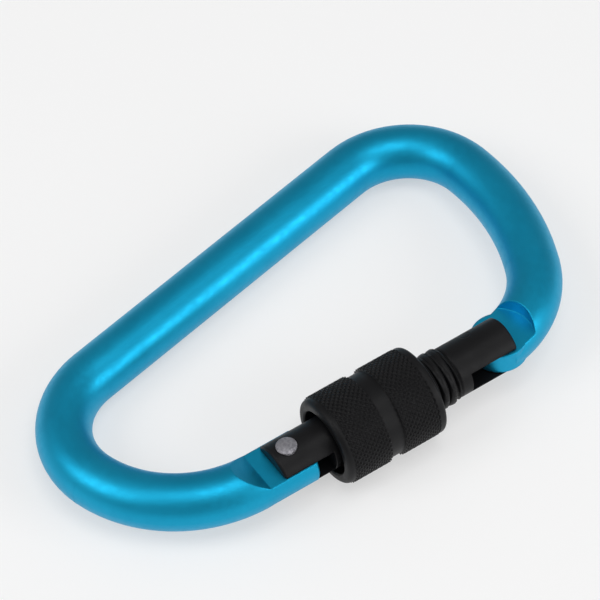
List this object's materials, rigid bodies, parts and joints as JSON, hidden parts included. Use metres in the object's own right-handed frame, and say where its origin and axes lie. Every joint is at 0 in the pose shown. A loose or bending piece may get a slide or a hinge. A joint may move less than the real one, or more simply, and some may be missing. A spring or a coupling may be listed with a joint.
{
  "type": "screw-lock carabiner",
  "caption": "D-shaped locking carabiner of bent round bar, with a sprung tubular gate on a rivet and a knurled sleeve that screws over the nose.",
  "frame": {"origin": "middle of the bounding box, on the middle plane of the bent bar", "axes": "+X along the gate from the hinge rivet to the nose, +Y from the gate to the spine, +Z square to the D's plane"},
  "size_m": [0.1094, 0.0674, 0.0178],
  "materials": {
    "anodised_body": "bead blasted and anodised blue",
    "black_gate": "turned and anodised black",
    "black_sleeve": "knurled and anodised black",
    "ring": "moulded nylon",
    "rivet_steel": "peened",
    "pin_steel": "blackened, ground flush",
    "spring_steel": "drawn wire and turned pin"
  },
  "bodies": {
    "body": {"body": "anodised_body"},
    "gate": {"gate": "black_gate", "hinge_rivet": "rivet_steel", "latch_pin": "pin_steel", "gate_spring": "spring_steel"},
    "plunger": {"spring_plunger": "spring_steel"},
    "ring": {"friction_ring": "ring"},
    "sleeve": {"locking_sleeve": "black_sleeve"}
  },
  "joints": [
    {"name": "gate_swing", "type": "hinge", "parent": "body", "child": "gate", "pos_m": [-0.01819, -0.02481, 0], "axis": [0, 0, 1], "range_deg": [0, 26], "stiffness_Nm_per_rad": 0.22, "springref_deg": -38.96},
    {"name": "plunger_slide", "type": "slide", "parent": "gate", "child": "plunger", "axis": [1, 0, 0], "range_m": [0, 0.00118], "deforming": ["gate_spring"]},
    {"name": "sleeve_travel", "type": "slide", "parent": "gate", "child": "ring", "axis": [1, 0, 0], "range_m": [0, 0.0175]},
    {"name": "sleeve_turn", "type": "hinge", "parent": "ring", "child": "sleeve", "pos_m": [-0.01049, -0.02481, 0], "axis": [1, 0, 0], "range_deg": [0, 3624]}
  ],
  "couplings": [
    {"joint": "plunger_slide", "follows": "gate_swing", "m_per_rad": 0.00256},
    {"joint": "sleeve_turn", "follows": "sleeve_travel", "rad_per_m": 3590.4}
  ]
}
